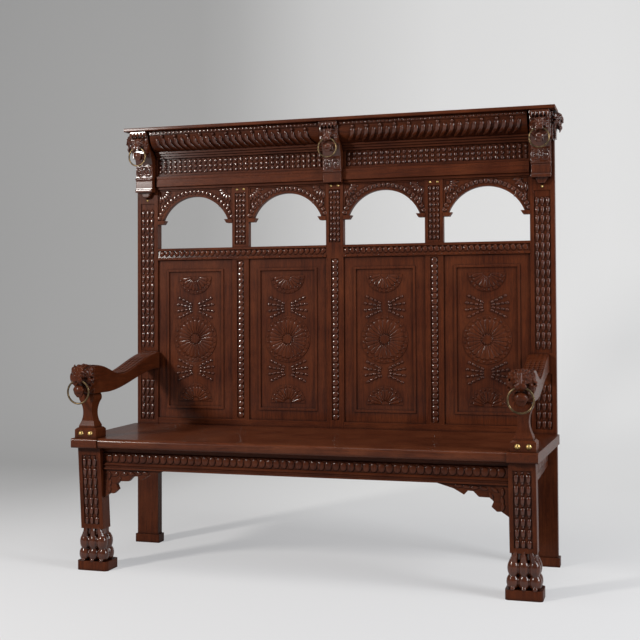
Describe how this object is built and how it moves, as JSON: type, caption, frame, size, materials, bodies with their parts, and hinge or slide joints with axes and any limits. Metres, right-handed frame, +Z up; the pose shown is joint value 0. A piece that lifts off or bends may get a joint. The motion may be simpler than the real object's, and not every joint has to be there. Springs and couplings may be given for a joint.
{
  "type": "high back bench",
  "caption": "High back carved oak bench with panelled back, open arches, projecting cornice, lion head consoles and arms with hinged rings, and raked paw legs.",
  "frame": {"origin": "on the floor at the middle of the bounding box's base", "axes": "+Z up; the front of the bench, where the sitter faces, is -Y and the back is +Y; +X is to the right of a person who looks at the front"},
  "size_m": [1.752, 0.656, 1.668],
  "materials": {
    "oak": "dark waxed oak, worn on the high carving",
    "seat_oak": "dark waxed oak polished by use",
    "bronze": "aged, dark in the hollows",
    "brass": "domed nail heads, tarnished"
  },
  "bodies": {
    "bench": {"apron": "oak", "apron_moulding": "oak", "arch_1": "oak", "arch_2": "oak", "arch_3": "oak", "arch_4": "oak", "arm_left": "oak", "arm_right": "oak", "arm_support_left": "oak", "arm_support_right": "oak", "bottom_rail_left": "oak", "bottom_rail_right": "oak", "bracket_left": "oak", "bracket_right": "oak", "brass_nails": "brass", "centre_corbel": "oak", "centre_stile": "oak", "corner_console_left": "oak", "corner_console_right": "oak", "cornice_left": "oak", "cornice_right": "oak", "frame_pegs": "oak", "frieze_board": "oak", "front_leg_left": "oak", "front_leg_right": "oak", "front_plinth_left": "oak", "front_plinth_right": "oak", "lower_munting_left": "oak", "lower_munting_right": "oak", "mid_rail_left": "oak", "mid_rail_right": "oak", "panel_1": "oak", "panel_2": "oak", "panel_3": "oak", "panel_4": "oak", "rear_plinth_left": "oak", "rear_plinth_right": "oak", "rear_post_left": "oak", "rear_post_right": "oak", "rear_seat_rail": "oak", "seat_bearer_left": "oak", "seat_bearer_right": "oak", "seat_board_front": "seat_oak", "seat_board_rear": "seat_oak", "seat_cleat_left": "seat_oak", "seat_cleat_right": "seat_oak", "side_mask_left": "oak", "side_mask_right": "oak", "side_rail_left": "oak", "side_rail_right": "oak", "top_board": "oak", "top_rail": "oak", "upper_munting_left": "oak", "upper_munting_right": "oak"},
    "upper_ring_left": {"console_ring_left": "bronze"},
    "upper_ring_centre": {"console_ring_centre": "bronze"},
    "upper_ring_right": {"console_ring_right": "bronze"},
    "lower_ring_left": {"arm_ring_left": "bronze"},
    "lower_ring_right": {"arm_ring_right": "bronze"}
  },
  "joints": [
    {"name": "console_ring_left_swing", "type": "hinge", "parent": "bench", "child": "upper_ring_left", "pos_m": [-0.793, 0.189, 1.576], "axis": [-1, 0, 0], "range_deg": [0, 95]},
    {"name": "console_ring_centre_swing", "type": "hinge", "parent": "bench", "child": "upper_ring_centre", "pos_m": [0, 0.189, 1.576], "axis": [-1, 0, 0], "range_deg": [0, 95]},
    {"name": "console_ring_right_swing", "type": "hinge", "parent": "bench", "child": "upper_ring_right", "pos_m": [0.793, 0.189, 1.576], "axis": [-1, 0, 0], "range_deg": [0, 95]},
    {"name": "arm_ring_left_swing", "type": "hinge", "parent": "bench", "child": "lower_ring_left", "pos_m": [-0.777, -0.312, 0.678], "axis": [-1, 0, 0], "range_deg": [0, 95]},
    {"name": "arm_ring_right_swing", "type": "hinge", "parent": "bench", "child": "lower_ring_right", "pos_m": [0.777, -0.312, 0.678], "axis": [-1, 0, 0], "range_deg": [0, 95]}
  ]
}
